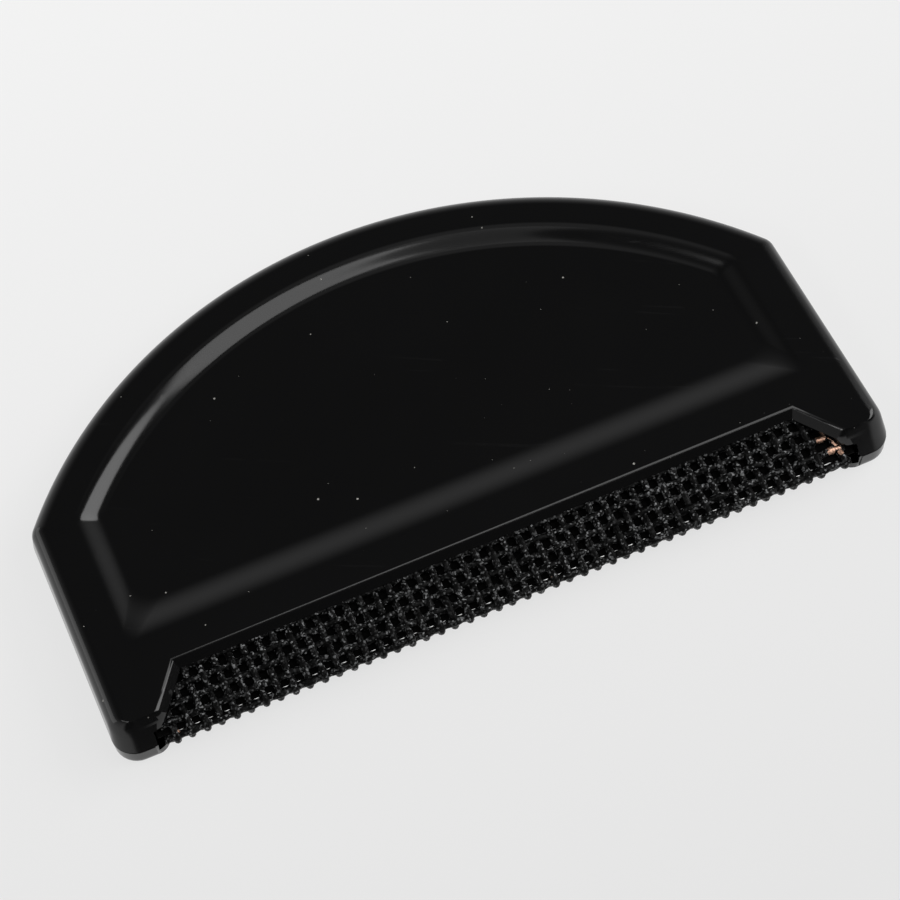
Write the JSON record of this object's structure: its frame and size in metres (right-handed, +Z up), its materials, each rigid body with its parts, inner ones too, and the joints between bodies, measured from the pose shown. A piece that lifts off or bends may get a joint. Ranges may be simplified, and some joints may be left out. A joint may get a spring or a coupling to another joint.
{
  "type": "sweater comb",
  "caption": "Half-moon handle of gloss black plastic with sunk grip panels, holding a folded black wire mesh along its straight edge that lifts pills and lint off knitwear",
  "frame": {"origin": "middle of the bounding box, on the plane that the rear shell rests on", "axes": "+X along the mesh edge, +Y from the mesh edge to the curved back, +Z up out of the front shell's face"},
  "size_m": [0.1142, 0.0654, 0.0084],
  "materials": {
    "shell_plastic": "polished black injection moulding",
    "core_plastic": "plain black moulding, hidden inside the mesh",
    "coated_wire": "fine-textured black coating over copper-coloured wire"
  },
  "bodies": {
    "root": {"front_shell": "shell_plastic", "rear_shell": "shell_plastic", "mesh_core": "core_plastic", "cross_wires": "coated_wire", "long_wire_01": "coated_wire", "long_wire_02": "coated_wire", "long_wire_03": "coated_wire", "long_wire_04": "coated_wire", "long_wire_05": "coated_wire", "long_wire_06": "coated_wire", "long_wire_07": "coated_wire", "long_wire_08": "coated_wire", "long_wire_09": "coated_wire", "long_wire_10": "coated_wire", "long_wire_11": "coated_wire", "long_wire_12": "coated_wire", "long_wire_13": "coated_wire", "long_wire_14": "coated_wire"}
  },
  "joints": []
}
